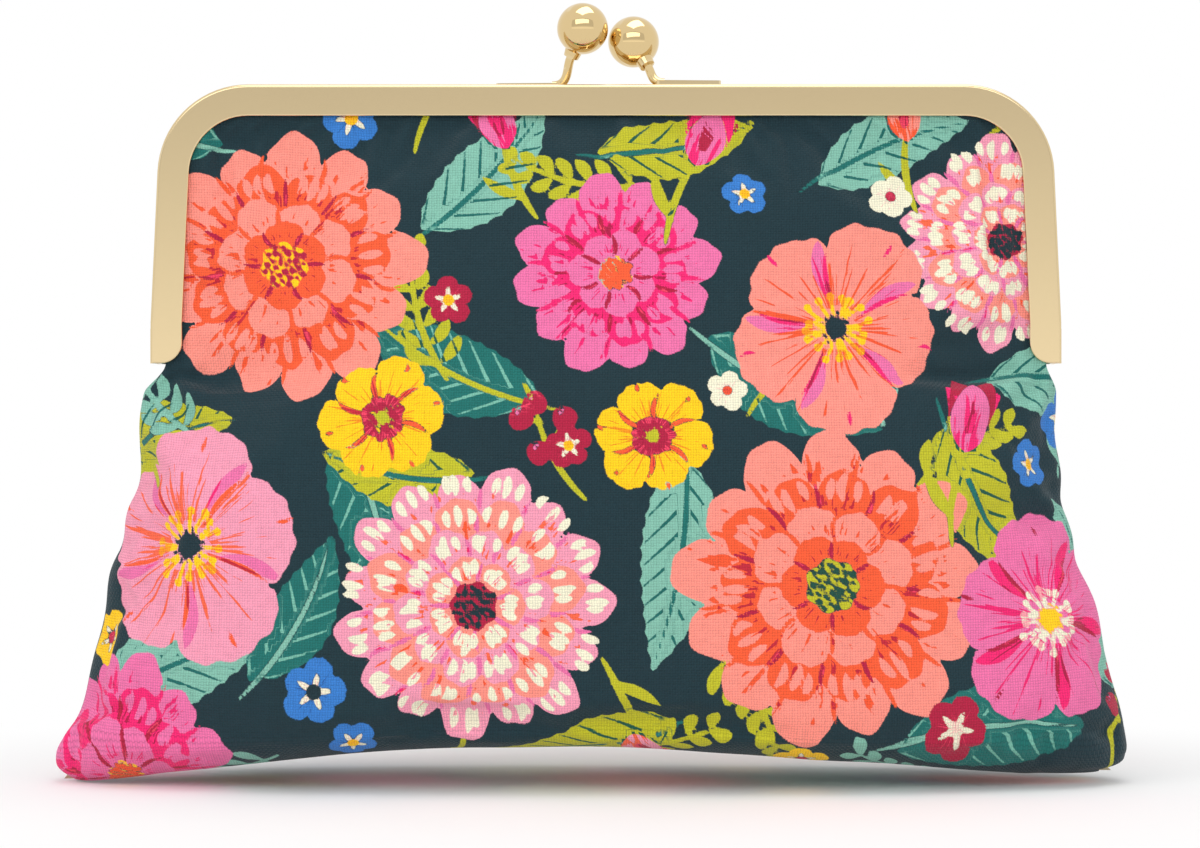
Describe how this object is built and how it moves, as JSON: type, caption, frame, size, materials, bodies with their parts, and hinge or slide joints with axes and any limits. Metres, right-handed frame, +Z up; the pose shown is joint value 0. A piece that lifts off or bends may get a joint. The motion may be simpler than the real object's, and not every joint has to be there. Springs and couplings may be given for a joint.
{
  "type": "kiss-lock frame purse",
  "caption": "Soft cloth purse with a wide arched base, a hinged metal frame around its mouth and a ball kiss lock that snaps shut.",
  "frame": {"origin": "centre of the base on the surface that the purse stands on", "axes": "+Z up, +X to the right along the frame, the front faces -Y"},
  "size_m": [0.2346, 0.054, 0.1716],
  "materials": {
    "gold_plate": "bright light gold plating",
    "print_canvas": "printed plain-weave cotton canvas",
    "fleece": "needled fleece interlining",
    "lining_cotton": "plain cotton lining",
    "paper_cord": "twisted paper cord"
  },
  "bodies": {
    "pouch": {"front_panel_lower": "print_canvas", "front_fleece_lower": "fleece", "front_lining_lower": "lining_cotton", "back_panel_lower": "print_canvas", "back_fleece_lower": "fleece", "back_lining_lower": "lining_cotton"},
    "front_half": {"front_frame": "gold_plate", "clasp_arm_front": "gold_plate", "clasp_ball_front": "gold_plate", "front_channel_cord": "paper_cord", "hinge_rivet_left": "gold_plate", "hinge_rivet_right": "gold_plate", "front_panel_upper": "print_canvas", "front_fleece_upper": "fleece", "front_lining_upper": "lining_cotton"},
    "back_half": {"back_frame": "gold_plate", "clasp_arm_back": "gold_plate", "clasp_ball_back": "gold_plate", "back_channel_cord": "paper_cord", "back_panel_upper": "print_canvas", "back_fleece_upper": "fleece", "back_lining_upper": "lining_cotton"}
  },
  "joints": [
    {"name": "front_frame_swing", "type": "hinge", "parent": "pouch", "child": "front_half", "pos_m": [0, 0, 0.0958], "axis": [1, 0, 0], "range_deg": [0, 45]},
    {"name": "back_frame_swing", "type": "hinge", "parent": "pouch", "child": "back_half", "pos_m": [0, 0, 0.0958], "axis": [1, 0, 0], "range_deg": [-45, 0]}
  ],
  "couplings": [
    {"joint": "back_frame_swing", "follows": "front_frame_swing", "ratio": -1}
  ]
}
